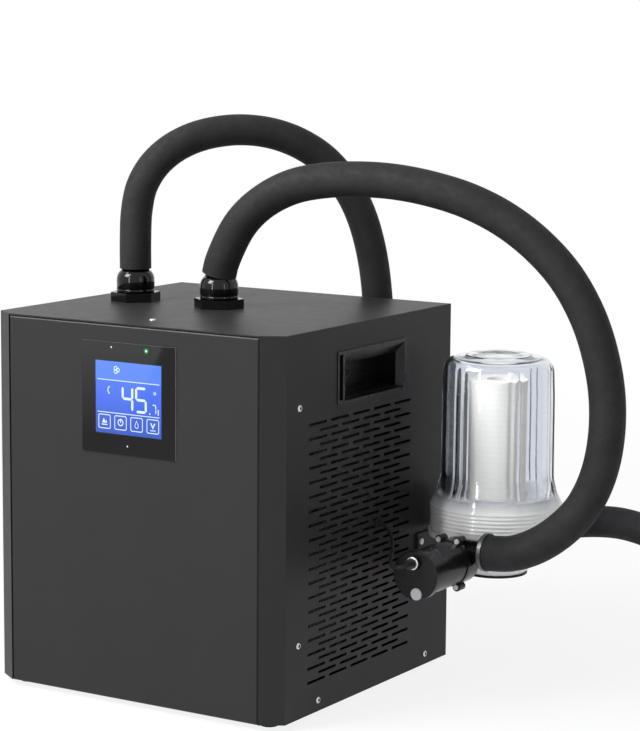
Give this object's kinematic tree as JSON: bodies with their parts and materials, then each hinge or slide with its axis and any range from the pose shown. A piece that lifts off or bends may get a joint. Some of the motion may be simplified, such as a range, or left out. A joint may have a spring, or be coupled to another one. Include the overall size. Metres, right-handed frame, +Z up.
{
  "type": "ice bath chiller",
  "caption": "Floor-standing water chiller with slotted side grilles, lit display, top hose fittings, and a side-mounted pump and upturned clear filter with insulated hoses.",
  "frame": {"origin": "on the floor under the middle of the chiller without its hoses", "axes": "+Z up, -Y out of the front panel with the display, +X towards the pump and filter"},
  "size_m": [1.1475, 0.4291, 0.6112],
  "materials": {
    "black_steel": "satin powder coat",
    "zinc_steel": "bright zinc",
    "black_plastic": "matte",
    "black_gloss": "gloss",
    "black_rubber": "matte",
    "black_foam": "matte foam",
    "motor_black": "satin",
    "compressor_black": "gloss",
    "fin_aluminium": "plain",
    "copper": "plain copper",
    "pipe_plastic": "plain",
    "filter_white": "gloss",
    "filter_clear": "clear",
    "cartridge_white": "wound thread",
    "grey_plastic": "matte",
    "board_green": "plain",
    "display_blue": "lit",
    "lamp_green": "lit",
    "switch_red": "gloss"
  },
  "bodies": {
    "chiller": {"base_pan": "black_steel", "front_panel": "black_steel", "right_side_panel": "black_steel", "left_side_panel": "black_steel", "rear_panel": "black_steel", "top_cover": "black_steel", "rubber_feet": "black_rubber", "panel_screws": "zinc_steel", "right_handle": "black_plastic", "left_handle": "black_plastic", "cable_grommet": "black_rubber", "control_glass": "black_gloss", "lcd_display": "display_blue", "control_board": "board_green", "status_lamp": "lamp_green", "compressor": "compressor_black", "compressor_grommets": "black_rubber", "condenser_fins": "fin_aluminium", "condenser_bends": "copper", "fan_shroud": "black_plastic", "fan_motor": "motor_black", "barrel_shell": "black_plastic", "barrel_lid": "black_plastic", "barrel_coil": "zinc_steel", "barrel_stand": "black_steel", "supply_pipe": "pipe_plastic", "return_pipe": "pipe_plastic", "hot_gas_pipe": "copper", "suction_pipe": "copper", "filter_drier": "copper", "capillary_tube": "copper", "water_sensor": "zinc_steel", "supply_fitting": "black_gloss", "return_fitting": "black_gloss", "supply_clamp_nut": "black_gloss", "return_clamp_nut": "black_gloss", "fitting_locknuts": "black_plastic", "terminal_box": "grey_plastic", "power_inlet": "black_plastic", "switch_housing": "black_plastic", "side_bracket": "black_steel", "mounting_screws": "zinc_steel", "pump_motor": "motor_black", "pump_head": "black_gloss", "pump_gland": "black_plastic", "pump_vent_plug": "grey_plastic", "pump_cable": "black_rubber", "hose_clip": "zinc_steel", "filter_head": "filter_white", "loop_hose": "black_foam", "return_hose": "black_foam", "inlet_hose": "black_foam", "return_hose_tail": "black_plastic", "inlet_hose_tail": "black_plastic"},
    "fan": {"fan_blades": "black_plastic"},
    "impeller": {"pump_impeller": "pipe_plastic"},
    "seal": {"bowl_seal": "black_rubber"},
    "bowl": {"filter_bowl": "filter_clear"},
    "cartridge": {"filter_cartridge": "cartridge_white"},
    "rocker": {"switch_rocker": "switch_red"}
  },
  "joints": [
    {"name": "fan_spin", "type": "hinge", "parent": "chiller", "child": "fan", "pos_m": [-0.0037, -0.05075, 0.1515], "axis": [1, 0, 0], "continuous": true},
    {"name": "impeller_spin", "type": "hinge", "parent": "chiller", "child": "impeller", "pos_m": [0.1863, 0.00775, 0.149], "axis": [0, 1, 0], "continuous": true},
    {"name": "bowl_lift", "type": "slide", "parent": "chiller", "child": "seal", "axis": [0, 0, 1], "range_m": [0, 0.2]},
    {"name": "bowl_turn", "type": "hinge", "parent": "seal", "child": "bowl", "pos_m": [0.1863, 0.10375, 0.2], "axis": [0, 0, 1], "continuous": true},
    {"name": "cartridge_lift", "type": "slide", "parent": "chiller", "child": "cartridge", "axis": [0, 0, 1], "range_m": [0, 0.09]},
    {"name": "switch_rock", "type": "hinge", "parent": "chiller", "child": "rocker", "pos_m": [-0.2287, 0.13775, 0.08], "axis": [1, 0, 0], "range_deg": [0, 24]}
  ],
  "couplings": [
    {"joint": "cartridge_lift", "follows": "bowl_lift", "ratio": 0.45}
  ]
}
